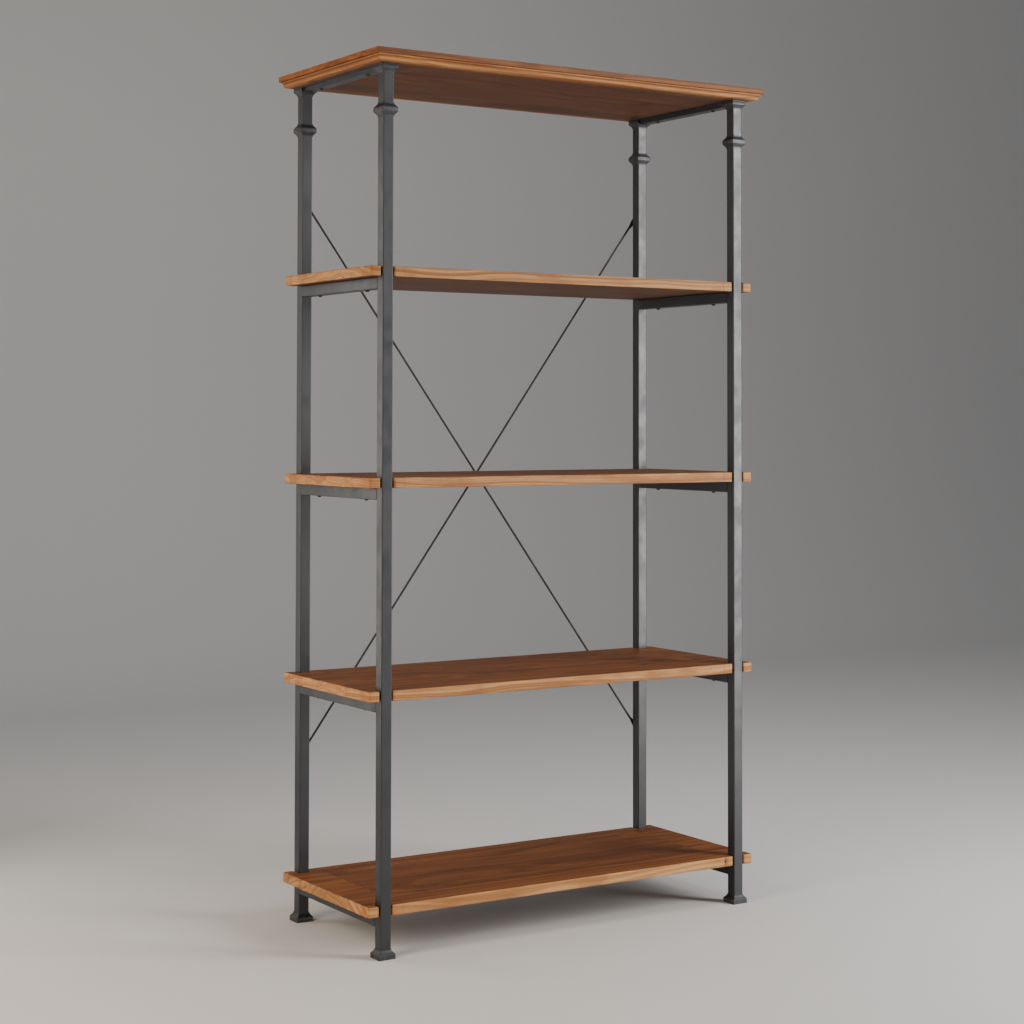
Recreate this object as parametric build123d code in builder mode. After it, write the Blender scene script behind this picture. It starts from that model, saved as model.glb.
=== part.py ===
from build123d import *

import math
import os

# An open bookcase of five tiers.  Two ladder-shaped side frames of square tube carry four notched
# shelves and a moulded top board, and two crossed rods brace the back.
# X runs to the right, Y to the back and Z up.  The origin is on the floor, under the middle of the
# top board.  Sizes are in millimetres.

# Shelves
shelf_width = 1016.0
shelf_depth = 403.0
shelf_thickness = 22.0
shelf_count = 4
lowest_shelf_top = 110.0
shelf_pitch = 444.5
top_bay_height = 427.5          # from the highest shelf up to the underside of the top board
end_board_width = 82.0          # notched board at each end of a shelf; this joint is a guess
horn_width = 25.6               # wood left outboard of each post
notch_clearance = 3.0           # air between a post and the notch it stands in
shelf_edge_round = 1.5
shelf_corner_round = 2.5
tongue_length = 10.0
tongue_thickness = 8.0
tongue_setback = 45.0           # the tongue stops this far short of each long edge
tongue_clearance = 0.2

# Square tube of the side frames
tube_size = 25.0
tube_wall = 2.0
tube_round = 2.0

# Cast feet, caps and collars
casting_width = 40.0
casting_round = 1.0
foot_lip_height = 3.0
groove_height = 1.0
groove_depth = 0.8
band_height = 6.0
flare_steep_height = 4.0
flare_steep_share = 0.57        # of the whole narrowing, done in the steep part
flare_shallow_height = 4.0
neck_height = 2.0
neck_step = 1.0                 # a neck stands this far proud of the tube
plug_length = 25.0
plug_clearance = 0.2
collar_drop = 97.0              # from the top board down to the middle of a collar's band
collar_band_height = 8.0
collar_flare_height = 8.0
collar_neck_height = 3.0
collar_clearance = 0.1

# Rail under the top board
plate_thickness = 3.0
rail_web_height = 9.0

# Top board
top_side_overhang = 6.3         # past the ends of the shelves
top_front_overhang = 40.0       # past the front edges of the shelves
top_back_overhang = 27.0
slab_thickness = 12.0
slab_edge_round = 1.2
moulding_height = 14.0
moulding_width = 30.0
bead_inset = 4.0
bead_bulge = 1.0
bead_height = 3.0
cove_height = 1.6
band_inset = 8.0
moulding_foot_round = 5.5
underpanel_gap = 0.3

# Rear brace
rod_diameter = 5.0
rod_gap = 0.3                   # air where one rod passes behind the other
brace_above_shelf = 182.5       # upper ends, above the highest shelf
brace_below_shelf = 199.5       # lower ends, below the second shelf
tab_width = 11.0
tab_thickness = 2.0
tab_neck_length = 30.0          # from the hole to where the tab meets the round rod
tab_lap = 4.0                   # the round rod runs this far into the tab
tab_hole_clearance = 0.15
brace_screw_radius = 2.45
brace_screw_length = 16.0
brace_head_radius = 4.6
brace_head_height = 2.8
brace_socket_radius = 1.5
nut_body_radius = 3.45
nut_length = 9.0
nut_flange_radius = 5.0
nut_flange_thickness = 0.8

# Screws and threaded inserts of the shelves and the top board
screw_radius = 2.9
screw_spread = 220.0            # between the two screws of a rung
screw_bite = 11.0               # how far a screw enters the wood
screw_head_radius = 5.5
screw_head_height = 3.3
insert_radius = 4.5
insert_length = 12.0
insert_relief = 0.6             # the hole runs this far past its insert
crown_share = 0.6               # width of a domed head at its crown, of its width at the rim
socket_radius = 2.0
socket_depth = 1.6

# Levelling glides
pad_radius = 12.6
pad_height = 4.3
pad_base_thickness = 1.2
pad_lip_thickness = 1.3
pad_chamfer = 0.6
pad_gap = 0.3
pad_recess_gap = 0.6
stud_radius = 4.0
stud_length = 38.0
stud_flange_radius = 6.0
stud_flange_thickness = 1.2
stud_hex_across = 12.0
stud_hex_height = 3.5
stud_chamfer = 0.8
hex_rise = 0.1                  # from the top of the pad's recess up to the hexagon
hex_recess_gap = 0.6
thread_clearance = 0.08
hole_clearance = 0.4            # radial, where a screw only passes through
fit_clearance = 0.05            # radial, screw in its thread and insert in its hole
pick_margin = 0.5               # used to pick out the edges to round

# Worked out from the sizes above
top_width = shelf_width + 2 * top_side_overhang
top_depth = shelf_depth + top_front_overhang + top_back_overhang
shelf_middle_y = (top_front_overhang - top_back_overhang) / 2
post_x = shelf_width / 2 - horn_width - notch_clearance - tube_size / 2
post_reach = shelf_depth / 2 - tube_size / 2
post_back = shelf_middle_y + shelf_depth / 2
side_signs = {"left": -1, "right": 1}
post_ys = {"front": shelf_middle_y - post_reach, "rear": shelf_middle_y + post_reach}
screw_ys = (shelf_middle_y - screw_spread / 2, shelf_middle_y + screw_spread / 2)
shelf_tops = [lowest_shelf_top + i * shelf_pitch for i in range(shelf_count)]
board_bottom = shelf_tops[-1] + top_bay_height
slab_bottom = board_bottom + moulding_height
casting_height = groove_height + band_height + flare_steep_height + flare_shallow_height + neck_height
foot_top = foot_lip_height + casting_height
cap_top = board_bottom - plate_thickness
cap_bottom = cap_top - casting_height
neck_width = tube_size + 2 * neck_step
flare_middle_width = casting_width - flare_steep_share * (casting_width - neck_width)
groove_width = casting_width - 2 * groove_depth
plug_width = tube_size - 2 * tube_wall - 2 * plug_clearance
panel_half_width = shelf_width / 2 - end_board_width
rung_length = 2 * post_reach - tube_size
brace_top = shelf_tops[-1] + brace_above_shelf
brace_bottom = shelf_tops[1] - brace_below_shelf
spacer_thickness = rod_diameter + rod_gap
tab_front = post_back + nut_flange_thickness
recess_height = pad_height + pad_gap
hex_bottom = recess_height + hex_rise
hex_recess_top = hex_bottom + stud_hex_height + pad_gap


def save(piece, name):
    """Label a finished piece and write it under its node name."""
    piece.part.label = name
    export_step(piece.part, f"parts/{name}.step")


# Posts: square tubes that stand on the feet and end under the caps.  The rear pair has a hole for a
# rivet nut at each end of the brace rods.

def build_post(side, end):
    x = side_signs[side] * post_x
    y = post_ys[end]
    with BuildPart() as post:
        with BuildSketch(Plane.XY.offset(foot_top)):
            with Locations((x, y)):
                RectangleRounded(tube_size, tube_size, tube_round)
                RectangleRounded(
                    tube_size - 2 * tube_wall,
                    tube_size - 2 * tube_wall,
                    tube_round / 2,
                    mode=Mode.SUBTRACT,
                )
        extrude(amount=cap_bottom - foot_top)
        if end == "rear":
            for z in (brace_top, brace_bottom):
                with Locations(Plane((x, post_back, z), z_dir=(0, 1, 0))):
                    Hole(nut_body_radius + fit_clearance, depth=tube_wall * 2)
    save(post, f"{end}_{side}_post")


# Rungs: lengths of the same tube between the front and rear post of a side, each under the end of a
# shelf, with two screw holes up through both walls.

def build_rung(side, number):
    x = side_signs[side] * post_x
    middle = shelf_tops[number] - shelf_thickness - tube_size / 2
    with BuildPart() as rung:
        with BuildSketch(Plane.XZ.offset(rung_length / 2 - shelf_middle_y)):
            with Locations((x, middle)):
                RectangleRounded(tube_size, tube_size, tube_round)
                RectangleRounded(
                    tube_size - 2 * tube_wall,
                    tube_size - 2 * tube_wall,
                    tube_round / 2,
                    mode=Mode.SUBTRACT,
                )
        extrude(amount=-rung_length)
        for y in screw_ys:
            with Locations((x, y, middle)):
                Hole(screw_radius + hole_clearance)
    save(rung, f"{side}_rung_{number + 1}")


# Feet and caps are one casting used both ways up: a square band, a flare that narrows to a neck the
# width of the tube, and a plug inside the tube.  A foot has a lip below its band, and is bored for
# the levelling glide.

def build_casting(side, end, kind):
    x = side_signs[side] * post_x
    y = post_ys[end]
    if kind == "foot":
        base = Plane((x, y, 0), z_dir=(0, 0, 1))
        lip = foot_lip_height
    else:
        base = Plane((x, y, cap_top), z_dir=(0, 0, -1))
        lip = 0.0
    band_start = lip + groove_height
    flare_start = band_start + band_height
    flare_middle = flare_start + flare_steep_height
    neck_start = flare_middle + flare_shallow_height
    shoulder = neck_start + neck_height
    with BuildPart() as casting:
        if kind == "foot":
            with BuildSketch(base):
                RectangleRounded(casting_width, casting_width, casting_round)
            extrude(amount=lip)
        with BuildSketch(base.offset(lip)):
            RectangleRounded(groove_width, groove_width, casting_round)
        extrude(amount=groove_height)
        with BuildSketch(base.offset(band_start)):
            RectangleRounded(casting_width, casting_width, casting_round)
        extrude(amount=band_height)
        with BuildSketch(base.offset(flare_start)):
            RectangleRounded(casting_width, casting_width, casting_round)
        with BuildSketch(base.offset(flare_middle)):
            RectangleRounded(flare_middle_width, flare_middle_width, casting_round)
        loft()
        with BuildSketch(base.offset(flare_middle)):
            RectangleRounded(flare_middle_width, flare_middle_width, casting_round)
        with BuildSketch(base.offset(neck_start)):
            RectangleRounded(neck_width, neck_width, casting_round)
        loft()
        with BuildSketch(base.offset(neck_start)):
            RectangleRounded(neck_width, neck_width, casting_round)
        extrude(amount=neck_height)
        with BuildSketch(base.offset(shoulder)):
            RectangleRounded(plug_width, plug_width, casting_round)
        extrude(amount=plug_length)
        if kind == "foot":
            with BuildSketch(base):
                Circle(pad_radius + pad_recess_gap)
            extrude(amount=recess_height, mode=Mode.SUBTRACT)
            with BuildSketch(base):
                Circle(stud_hex_across / math.sqrt(3) + hex_recess_gap)
            extrude(amount=hex_recess_top, mode=Mode.SUBTRACT)
            with BuildSketch(base):
                Circle(stud_radius + thread_clearance)
            extrude(amount=shoulder + plug_length, mode=Mode.SUBTRACT)
    save(casting, f"{end}_{side}_{kind}")


# Collars: castings slid over the posts near the top, a square band between two flares.

def build_collar(side, end):
    x = side_signs[side] * post_x
    y = post_ys[end]
    middle = board_bottom - collar_drop
    band_top = middle + collar_band_height / 2
    band_bottom = middle - collar_band_height / 2
    upward = Plane((x, y, band_top), z_dir=(0, 0, 1))
    downward = Plane((x, y, band_bottom), z_dir=(0, 0, -1))
    half_height = collar_band_height / 2 + collar_flare_height + collar_neck_height
    with BuildPart() as collar:
        with BuildSketch(downward.offset(-collar_band_height)):
            RectangleRounded(casting_width, casting_width, casting_round)
        extrude(amount=collar_band_height)
        for face in (upward, downward):
            with BuildSketch(face):
                RectangleRounded(casting_width, casting_width, casting_round)
            with BuildSketch(face.offset(collar_flare_height)):
                RectangleRounded(neck_width, neck_width, casting_round)
            loft()
            with BuildSketch(face.offset(collar_flare_height)):
                RectangleRounded(neck_width, neck_width, casting_round)
            extrude(amount=collar_neck_height)
        with BuildSketch(Plane((x, y, middle - half_height))):
            RectangleRounded(
                tube_size + 2 * collar_clearance,
                tube_size + 2 * collar_clearance,
                tube_round,
            )
        extrude(amount=2 * half_height, mode=Mode.SUBTRACT)
    save(collar, f"{end}_{side}_collar")


# Top rails: a flat plate that lies over the front and rear cap of a side, with a narrower web
# below it between the caps, and two screw holes up into the top board.

def build_top_rail(side):
    x = side_signs[side] * post_x
    web_length = 2 * post_reach - casting_width
    with BuildPart() as rail:
        with BuildSketch(Plane.XY.offset(cap_top)):
            with Locations((x, shelf_middle_y)):
                RectangleRounded(casting_width, 2 * post_reach + casting_width, casting_round)
        extrude(amount=plate_thickness)
        with BuildSketch(Plane.XY.offset(cap_top - rail_web_height)):
            with Locations((x, shelf_middle_y)):
                Rectangle(tube_size, web_length)
        extrude(amount=rail_web_height)
        for y in screw_ys:
            with Locations((x, y, cap_top)):
                Hole(screw_radius + hole_clearance)
    save(rail, f"{side}_top_rail")


# Shelves: a panel with a tongue at each end, and a board glued on to each tongue.  This joint is
# a guess.  The end boards are notched for the posts and hold the threaded inserts.

def build_shelf_panel(number):
    bottom = shelf_tops[number] - shelf_thickness
    tongue_bottom = bottom + (shelf_thickness - tongue_thickness) / 2
    with BuildPart() as panel:
        with BuildSketch(Plane.XY.offset(bottom)):
            with Locations((0, shelf_middle_y)):
                Rectangle(2 * panel_half_width, shelf_depth)
        extrude(amount=shelf_thickness)
        fillet(panel.edges().filter_by(Axis.X), shelf_edge_round)
        with BuildSketch(Plane.XY.offset(tongue_bottom)):
            with Locations((0, shelf_middle_y)):
                Rectangle(2 * (panel_half_width + tongue_length), shelf_depth - 2 * tongue_setback)
        extrude(amount=tongue_thickness)
    save(panel, f"shelf_{number + 1}_panel")


def build_shelf_end(number, side):
    sign = side_signs[side]
    front = shelf_middle_y - shelf_depth / 2
    back = shelf_middle_y + shelf_depth / 2
    bottom = shelf_tops[number] - shelf_thickness
    slot_thickness = tongue_thickness + 2 * tongue_clearance
    slot_bottom = bottom + (shelf_thickness - slot_thickness) / 2
    slot_width = tongue_length + tongue_clearance
    slot_length = shelf_depth - 2 * tongue_setback + 2 * tongue_clearance
    notch_width = tube_size + 2 * notch_clearance
    notch_depth = tube_size + notch_clearance
    with BuildPart() as board:
        with BuildSketch(Plane.XY.offset(bottom)):
            with Locations((sign * (panel_half_width + end_board_width / 2), shelf_middle_y)):
                Rectangle(end_board_width, shelf_depth)
            with Locations((sign * post_x, front), (sign * post_x, back)):
                Rectangle(notch_width, 2 * notch_depth, mode=Mode.SUBTRACT)
        extrude(amount=shelf_thickness)
        corners = board.edges().filter_by(Axis.Z).filter_by(
            lambda e: min(e.center().Y - front, back - e.center().Y) < pick_margin
            and abs(e.center().X) > panel_half_width + pick_margin
        )
        fillet(corners, shelf_corner_round)
        rims = board.faces().filter_by(Axis.Z).edges().filter_by(
            lambda e: abs(e.center().X) > panel_half_width + pick_margin
        )
        fillet(rims, shelf_edge_round)
        with BuildSketch(Plane.XY.offset(slot_bottom)):
            with Locations((sign * (panel_half_width + slot_width / 2), shelf_middle_y)):
                Rectangle(slot_width, slot_length)
        extrude(amount=slot_thickness, mode=Mode.SUBTRACT)
        for y in screw_ys:
            with Locations(Plane((sign * post_x, y, bottom), z_dir=(0, 0, -1))):
                Hole(insert_radius + fit_clearance, depth=insert_length + insert_relief)
    save(board, f"shelf_{number + 1}_{side}_end")


# Top board: a slab, a frame of four mitred moulding strips under its rim, and a panel that fills
# the frame and takes the inserts.

def build_top_slab():
    with BuildPart() as slab:
        with BuildSketch(Plane.XY.offset(slab_bottom)):
            Rectangle(top_width, top_depth)
        extrude(amount=slab_thickness)
        fillet(slab.edges().group_by(Axis.Z)[-1], slab_edge_round)
    save(slab, "top_slab")


def build_mouldings():
    half_width = top_width / 2
    half_depth = top_depth / 2
    corners = [
        Vector(-half_width, -half_depth, board_bottom),
        Vector(half_width, -half_depth, board_bottom),
        Vector(half_width, half_depth, board_bottom),
        Vector(-half_width, half_depth, board_bottom),
    ]
    cove_top = moulding_height - bead_height
    cove_bottom = cove_top - cove_height
    bead_middle = moulding_height - bead_height / 2
    bead_root = bead_inset + bead_bulge
    inner = bead_inset + moulding_width
    foot_inset = band_inset + moulding_foot_round
    foot_bulge = moulding_foot_round * (1 - math.sqrt(0.5))
    for i, name in enumerate(("front", "right", "back", "left")):
        start = corners[i]
        finish = corners[(i + 1) % 4]
        along = (finish - start).normalized()
        inward = Vector(-along.Y, along.X, 0)
        with BuildPart() as strip:
            with BuildSketch(Plane(start, x_dir=inward, z_dir=along)):
                with BuildLine():
                    Line((inner, 0), (inner, moulding_height))
                    Line((inner, moulding_height), (bead_root, moulding_height))
                    ThreePointArc(
                        (bead_root, moulding_height),
                        (bead_inset, bead_middle),
                        (bead_root, cove_top),
                    )
                    Line((bead_root, cove_top), (band_inset, cove_bottom))
                    Line((band_inset, cove_bottom), (band_inset, moulding_foot_round))
                    ThreePointArc(
                        (band_inset, moulding_foot_round),
                        (band_inset + foot_bulge, foot_bulge),
                        (foot_inset, 0),
                    )
                    Line((foot_inset, 0), (inner, 0))
                make_face()
            extrude(amount=(finish - start).length)
            split(bisect_by=Plane(start, z_dir=along - inward), keep=Keep.TOP)
            split(bisect_by=Plane(finish, z_dir=-along - inward), keep=Keep.TOP)
        save(strip, f"top_{name}_moulding")


def build_top_underpanel():
    rim = bead_inset + moulding_width + underpanel_gap
    with BuildPart() as panel:
        with BuildSketch(Plane.XY.offset(board_bottom)):
            Rectangle(top_width - 2 * rim, top_depth - 2 * rim)
        extrude(amount=moulding_height)
        for x, y in screw_columns():
            with Locations(Plane((x, y, board_bottom), z_dir=(0, 0, -1))):
                Hole(insert_radius + fit_clearance, depth=insert_length + insert_relief)
    save(panel, "top_underpanel")


# Brace rods: round rods with flattened, drilled ends, from the upper end on one rear post to the
# lower end on the other.  The falling rod lies against the posts and the rising one is spaced out
# behind it, so that they pass each other in the middle.

def build_brace_rod(name, slope_sign, standoff):
    front = tab_front + standoff
    half_length = math.hypot(2 * post_x, brace_top - brace_bottom) / 2
    middle = Vector(0, front, (brace_top + brace_bottom) / 2)
    along = Vector(2 * post_x, 0, slope_sign * (brace_top - brace_bottom)).normalized()
    flat = Plane(middle, x_dir=along, z_dir=(0, 1, 0))
    rod_start = half_length - tab_neck_length + tab_lap
    cross_section = Plane(
        middle + Vector(0, rod_diameter / 2, 0) - along * rod_start, x_dir=(0, 1, 0), z_dir=along
    )
    with BuildPart() as rod:
        with BuildSketch(cross_section):
            Circle(rod_diameter / 2)
        extrude(amount=2 * rod_start)
        for tip in (-1, 1):
            with BuildSketch(flat):
                with BuildLine():
                    Polyline(
                        (tip * (half_length - tab_neck_length), -rod_diameter / 2),
                        (tip * (half_length - tab_width), -tab_width / 2),
                        (tip * half_length, -tab_width / 2),
                        (tip * half_length, tab_width / 2),
                        (tip * (half_length - tab_width), tab_width / 2),
                        (tip * (half_length - tab_neck_length), rod_diameter / 2),
                        close=True,
                    )
                make_face()
                with Locations((tip * half_length, 0)):
                    Circle(tab_width / 2)
                with Locations((tip * half_length, 0)):
                    Circle(brace_screw_radius + tab_hole_clearance, mode=Mode.SUBTRACT)
            extrude(amount=tab_thickness)
    save(rod, name)


# Brace fixings: rivet nuts in the rear posts, a screw at each rod end, and a spacer under both ends
# of the rising rod.

def brace_ends():
    """The four rod ends, each as side, height and how far its tab stands off the post."""
    return [
        (-1, brace_top, 0.0),
        (1, brace_bottom, 0.0),
        (1, brace_top, spacer_thickness),
        (-1, brace_bottom, spacer_thickness),
    ]


def build_rivet_nuts():
    with BuildPart() as nuts:
        for sign, z, _ in brace_ends():
            with BuildSketch(Plane((sign * post_x, post_back, z), z_dir=(0, 1, 0))):
                Circle(nut_flange_radius)
            extrude(amount=nut_flange_thickness)
            with BuildSketch(Plane((sign * post_x, post_back, z), z_dir=(0, -1, 0))):
                Circle(nut_body_radius)
            extrude(amount=nut_length)
            with Locations(Plane((sign * post_x, post_back + nut_flange_thickness, z), z_dir=(0, 1, 0))):
                Hole(brace_screw_radius + fit_clearance, depth=nut_length + 2 * nut_flange_thickness)
    save(nuts, "brace_rivet_nuts")


def build_brace_spacers():
    with BuildPart() as spacers:
        for sign, z, standoff in brace_ends():
            if standoff > 0:
                with BuildSketch(Plane((sign * post_x, tab_front, z), z_dir=(0, 1, 0))):
                    Circle(nut_flange_radius)
                    Circle(brace_screw_radius + tab_hole_clearance, mode=Mode.SUBTRACT)
                extrude(amount=standoff)
    save(spacers, "brace_spacers")


def build_brace_screws():
    with BuildPart() as screws:
        for sign, z, standoff in brace_ends():
            seat = Plane((sign * post_x, tab_front + standoff + tab_thickness, z), z_dir=(0, 1, 0))
            with BuildSketch(seat):
                Circle(brace_head_radius)
            with BuildSketch(seat.offset(brace_head_height)):
                Circle(brace_head_radius * crown_share)
            loft()
            with BuildSketch(seat.offset(-brace_screw_length)):
                Circle(brace_screw_radius)
            extrude(amount=brace_screw_length)
            with BuildSketch(seat.offset(brace_head_height)):
                RegularPolygon(brace_socket_radius, 6)
            extrude(amount=-socket_depth, mode=Mode.SUBTRACT)
    save(screws, "brace_screws")


# Screws: one size holds the shelves through the rungs, a shorter one holds the top board through
# the rails.  Both have domed heads with a hexagon socket, and bite into threaded inserts.

def build_screws(name, seats, length):
    with BuildPart() as screws:
        for seat in seats:
            under = Plane(seat, z_dir=(0, 0, -1))
            with BuildSketch(under):
                Circle(screw_head_radius)
            with BuildSketch(under.offset(screw_head_height)):
                Circle(screw_head_radius * crown_share)
            loft()
            with BuildSketch(under.offset(-length)):
                Circle(screw_radius)
            extrude(amount=length)
            with BuildSketch(under.offset(screw_head_height)):
                RegularPolygon(socket_radius, 6)
            extrude(amount=-socket_depth, mode=Mode.SUBTRACT)
    save(screws, name)


def screw_columns():
    """The four places, seen from above, where a screw goes up into a shelf or the top board."""
    return [(x, y) for x in (-post_x, post_x) for y in screw_ys]


def build_all_screws():
    rung_bottoms = [top - shelf_thickness - tube_size for top in shelf_tops]
    shelf_seats = [(x, y, z) for z in rung_bottoms for x, y in screw_columns()]
    build_screws("shelf_screws", shelf_seats, tube_size + screw_bite)
    rail_bottom = cap_top - rail_web_height
    top_seats = [(x, y, rail_bottom) for x, y in screw_columns()]
    build_screws("top_screws", top_seats, rail_web_height + plate_thickness + screw_bite)


def build_inserts():
    undersides = [top - shelf_thickness for top in shelf_tops] + [board_bottom]
    with BuildPart() as inserts:
        for z in undersides:
            for x, y in screw_columns():
                with BuildSketch(Plane.XY.offset(z)):
                    with Locations((x, y)):
                        Circle(insert_radius)
                        Circle(screw_radius + fit_clearance, mode=Mode.SUBTRACT)
                extrude(amount=insert_length)
    save(inserts, "threaded_inserts")


# Levelling glides: a pad that stands on the floor and slides up and down, and a stud that turns in
# the foot's thread.  The stud's flange is held between the pad's base and its lip.

def build_glide(side, end):
    x = side_signs[side] * post_x
    y = post_ys[end]
    base = Plane((x, y, 0), z_dir=(0, 0, 1))
    lip_bottom = pad_height - pad_lip_thickness
    flange_bottom = pad_base_thickness + pad_gap
    with BuildPart() as pad:
        with BuildSketch(base):
            Circle(pad_radius)
        extrude(amount=pad_height)
        chamfer(pad.edges().group_by(Axis.Z)[0], pad_chamfer)
        with BuildSketch(base.offset(pad_base_thickness)):
            Circle(stud_flange_radius + pad_gap)
        extrude(amount=lip_bottom - pad_base_thickness, mode=Mode.SUBTRACT)
        with BuildSketch(base.offset(lip_bottom)):
            Circle(stud_radius + thread_clearance)
        extrude(amount=pad_lip_thickness, mode=Mode.SUBTRACT)
    save(pad, f"{end}_{side}_glide_pad")
    with BuildPart() as stud:
        with BuildSketch(base.offset(flange_bottom)):
            Circle(stud_flange_radius)
        extrude(amount=stud_flange_thickness)
        with BuildSketch(base.offset(flange_bottom)):
            Circle(stud_radius)
        extrude(amount=stud_length)
        with BuildSketch(base.offset(hex_bottom)):
            RegularPolygon(stud_hex_across / 2, 6, major_radius=False)
        extrude(amount=stud_hex_height)
        chamfer(stud.edges().group_by(Axis.Z)[-1], stud_chamfer)
    save(stud, f"{end}_{side}_glide_stud")


def build_bookcase():
    os.makedirs("parts", exist_ok=True)
    for side in side_signs:
        for end in post_ys:
            build_post(side, end)
            build_casting(side, end, "foot")
            build_casting(side, end, "cap")
            build_collar(side, end)
            build_glide(side, end)
        for number in range(shelf_count):
            build_rung(side, number)
            build_shelf_end(number, side)
        build_top_rail(side)
    for number in range(shelf_count):
        build_shelf_panel(number)
    build_top_slab()
    build_mouldings()
    build_top_underpanel()
    build_brace_rod("falling_brace_rod", -1, 0.0)
    build_brace_rod("rising_brace_rod", 1, spacer_thickness)
    build_rivet_nuts()
    build_brace_spacers()
    build_brace_screws()
    build_all_screws()
    build_inserts()


build_bookcase()
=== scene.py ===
import math

import bmesh
import bpy
import numpy as np
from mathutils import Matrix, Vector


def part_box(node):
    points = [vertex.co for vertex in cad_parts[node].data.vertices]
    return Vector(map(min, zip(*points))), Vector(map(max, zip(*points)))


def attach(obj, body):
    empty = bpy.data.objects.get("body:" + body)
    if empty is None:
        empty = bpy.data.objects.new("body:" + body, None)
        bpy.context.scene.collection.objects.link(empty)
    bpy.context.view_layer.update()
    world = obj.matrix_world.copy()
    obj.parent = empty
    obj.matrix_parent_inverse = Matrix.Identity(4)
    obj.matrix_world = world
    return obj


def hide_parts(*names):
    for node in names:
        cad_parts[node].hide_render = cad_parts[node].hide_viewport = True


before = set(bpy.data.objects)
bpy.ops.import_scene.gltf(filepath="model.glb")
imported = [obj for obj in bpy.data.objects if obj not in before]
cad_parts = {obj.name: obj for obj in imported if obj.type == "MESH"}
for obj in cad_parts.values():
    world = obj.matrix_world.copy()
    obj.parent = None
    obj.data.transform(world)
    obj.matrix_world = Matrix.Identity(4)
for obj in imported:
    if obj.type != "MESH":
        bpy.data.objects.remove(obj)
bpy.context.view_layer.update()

# An open bookcase, part by part in the order in which it goes together.  Lengths are in metres, X
# runs to the right, Y to the back and Z up, and the floor is at Z 0 under the top board's middle.
mm = 0.001


# ---- Posts, rungs and top rails --------------------------------------------------------------
# Square steel tube and flat bar, welded into two ladders, ground flush and sprayed with a satin
# charcoal enamel.  The enamel has a faint orange-peel skin.  Its corners are paler: partly the
# enamel worn thin, partly a painted highlight.

enamel_tone = (0.010, 0.0115, 0.0155)
enamel_light_tone = (0.017, 0.019, 0.025)
# the paler corner tone and its spread below stand for worn enamel and a painted highlight
rubbed_and_highlight_tone = (0.120, 0.124, 0.140)
peel_size = 1.4 * mm
peel_depth = 0.02 * mm
corner_from, corner_to = 0.93, 0.995     # shares of the half width: rub begins, rub is full
corner_wear_and_highlight = 0.5


def new_tree(name):
    """An empty material and its node tree."""
    material = bpy.data.materials.new(name)
    material.use_nodes = True
    material.node_tree.nodes.clear()
    return material, material.node_tree


def add(tree, kind, inputs=None, **settings):
    """Adds a shader node. settings are its properties, and inputs maps its sockets to values or to
    other nodes' outputs."""
    node = tree.nodes.new(kind)
    for name, value in settings.items():
        setattr(node, name, value)
    for socket, value in (inputs or {}).items():
        if isinstance(value, bpy.types.NodeSocket):
            tree.links.new(value, node.inputs[socket])
        else:
            node.inputs[socket].default_value = value
    return node


def work(tree, operation, *values):
    """The output of a Math node on these values."""
    return add(tree, "ShaderNodeMath", dict(enumerate(values)), operation=operation).outputs[0]


def cloud(tree, where, scale, detail=3.0, roughness=0.5, stretch=None):
    """Noise from 0 to 1 at these coordinates, after stretch multiplies them axis by axis."""
    if stretch:
        where = add(
            tree, "ShaderNodeVectorMath", {0: where, 1: stretch}, operation="MULTIPLY"
        ).outputs[0]
    inputs = {"Vector": where, "Scale": scale, "Detail": detail, "Roughness": roughness}
    return add(tree, "ShaderNodeTexNoise", inputs).outputs[0]


def between(tree, value, low, high, to_low=0.0, to_high=1.0):
    """Maps low..high smoothly on to to_low..to_high, and holds the ends."""
    inputs = {0: value, 1: low, 2: high, 3: to_low, 4: to_high}
    return add(tree, "ShaderNodeMapRange", inputs, interpolation_type="SMOOTHSTEP").outputs[0]


def tone(tree, share, first, second):
    """first coloured over by second, by share."""
    inputs = {0: share}
    for socket, colour in ((6, first), (7, second)):
        inputs[socket] = (*colour, 1.0) if isinstance(colour, tuple) else colour
    return add(tree, "ShaderNodeMix", inputs, data_type="RGBA").outputs[2]


def finish_surface(tree, colour, roughness, height, depth, **fixed):
    """Joins colour, roughness and bump height to a Principled shader, with fixed sockets."""
    bump = add(tree, "ShaderNodeBump", {"Height": height, "Distance": depth})
    inputs = {"Base Color": colour, "Roughness": roughness, "Normal": bump.outputs[0]}
    inputs.update({name.replace("_", " "): value for name, value in fixed.items()})
    shader = add(tree, "ShaderNodeBsdfPrincipled", inputs)
    add(tree, "ShaderNodeOutputMaterial", {"Surface": shader.outputs[0]})


def enamel(name, rub_and_painted_light, peel=peel_size, depth=peel_depth, rough=(0.32, 0.46)):
    """Satin charcoal enamel. Its second argument gives the share of each point that is worn thin
    and painted as a highlight, before scuffs break it up."""
    material, tree = new_tree(name)
    where = add(tree, "ShaderNodeTexCoord").outputs["Object"]
    drift = cloud(tree, where, 5.0)
    scuffs = cloud(tree, where, 90.0, detail=5.0, roughness=0.65)
    # share of the paler corner tone: worn enamel and a painted highlight
    worn = work(tree, "MULTIPLY", rub_and_painted_light(tree, where), between(tree, scuffs, 0.42, 0.62))
    colour = tone(tree, drift, enamel_tone, enamel_light_tone)
    colour = tone(tree, worn, colour, rubbed_and_highlight_tone)
    smear = cloud(tree, where, 22.0, detail=4.0, roughness=0.6)
    roughness = between(tree, smear, 0.3, 0.7, *rough)
    skin = cloud(tree, where, 1.0 / peel, detail=2.0)
    finish_surface(tree, colour, roughness, skin, depth, Specular_IOR_Level=0.65)
    return material


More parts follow.
